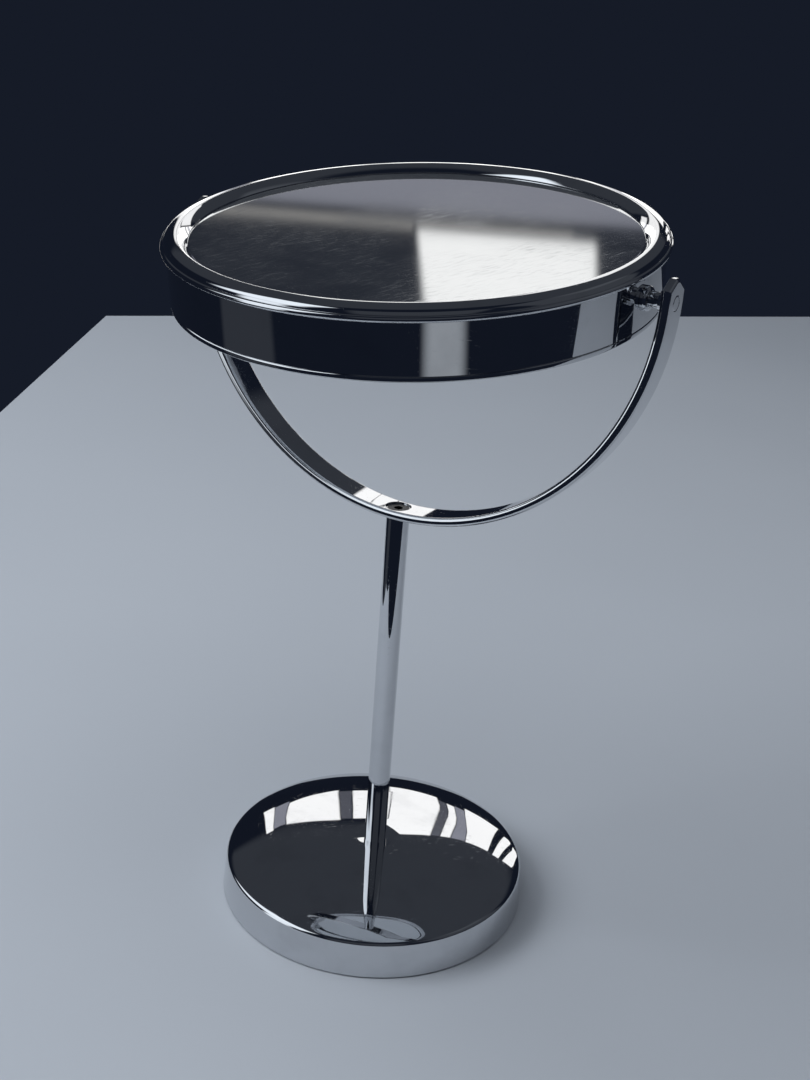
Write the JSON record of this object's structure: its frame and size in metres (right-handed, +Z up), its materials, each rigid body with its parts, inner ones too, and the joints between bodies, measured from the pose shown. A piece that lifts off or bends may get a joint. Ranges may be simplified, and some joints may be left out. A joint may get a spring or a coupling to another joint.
{
  "type": "round tilting table mirror",
  "caption": "Round double-sided table mirror: chromed head that tilts in a U-shaped strap yoke on a thin stem and a weighted domed base.",
  "frame": {"origin": "centre of the base, on the surface that the mirror stands on", "axes": "+Z up; X along the tilt axis, between the two arms of the yoke; -Y towards the user, on the side that the plain face leans to at rest"},
  "size_m": [0.1854, 0.1672, 0.273],
  "materials": {
    "chrome": "polished chrome plate, mirror bright, with faint hairline scratches and finger marks",
    "steel": "zinc plated steel, satin",
    "cast_iron": "rough cast iron, painted dark",
    "pad": "dark non-slip foam rubber",
    "nylon": "natural nylon",
    "plastic": "moulded ABS, satin",
    "mirror": "silvered glass with a little dust",
    "foam": "soft grey foam sheet"
  },
  "bodies": {
    "stand": {"base_shell": "chrome", "base_weight": "cast_iron", "base_plate": "steel", "base_pad": "pad", "base_screw": "steel", "base_lock_washer": "steel", "stem": "chrome", "yoke_strap": "chrome", "yoke_screw": "steel", "pivot_pin_left": "chrome", "pivot_pin_right": "chrome", "spring_washers": "steel", "pivot_nuts": "steel"},
    "head": {"pivot_bush_left": "chrome", "pivot_bush_right": "chrome", "friction_washers": "nylon", "head_band": "chrome", "front_bezel": "chrome", "rear_bezel": "chrome", "core_ring": "plastic", "mirror_plain": "mirror", "mirror_magnifying": "mirror", "backing_plain": "foam", "backing_magnifying": "foam"}
  },
  "joints": [
    {"name": "head_tilt", "type": "hinge", "parent": "stand", "child": "head", "pos_m": [0, 0, 0.25], "axis": [1, 0, 0], "continuous": true}
  ]
}
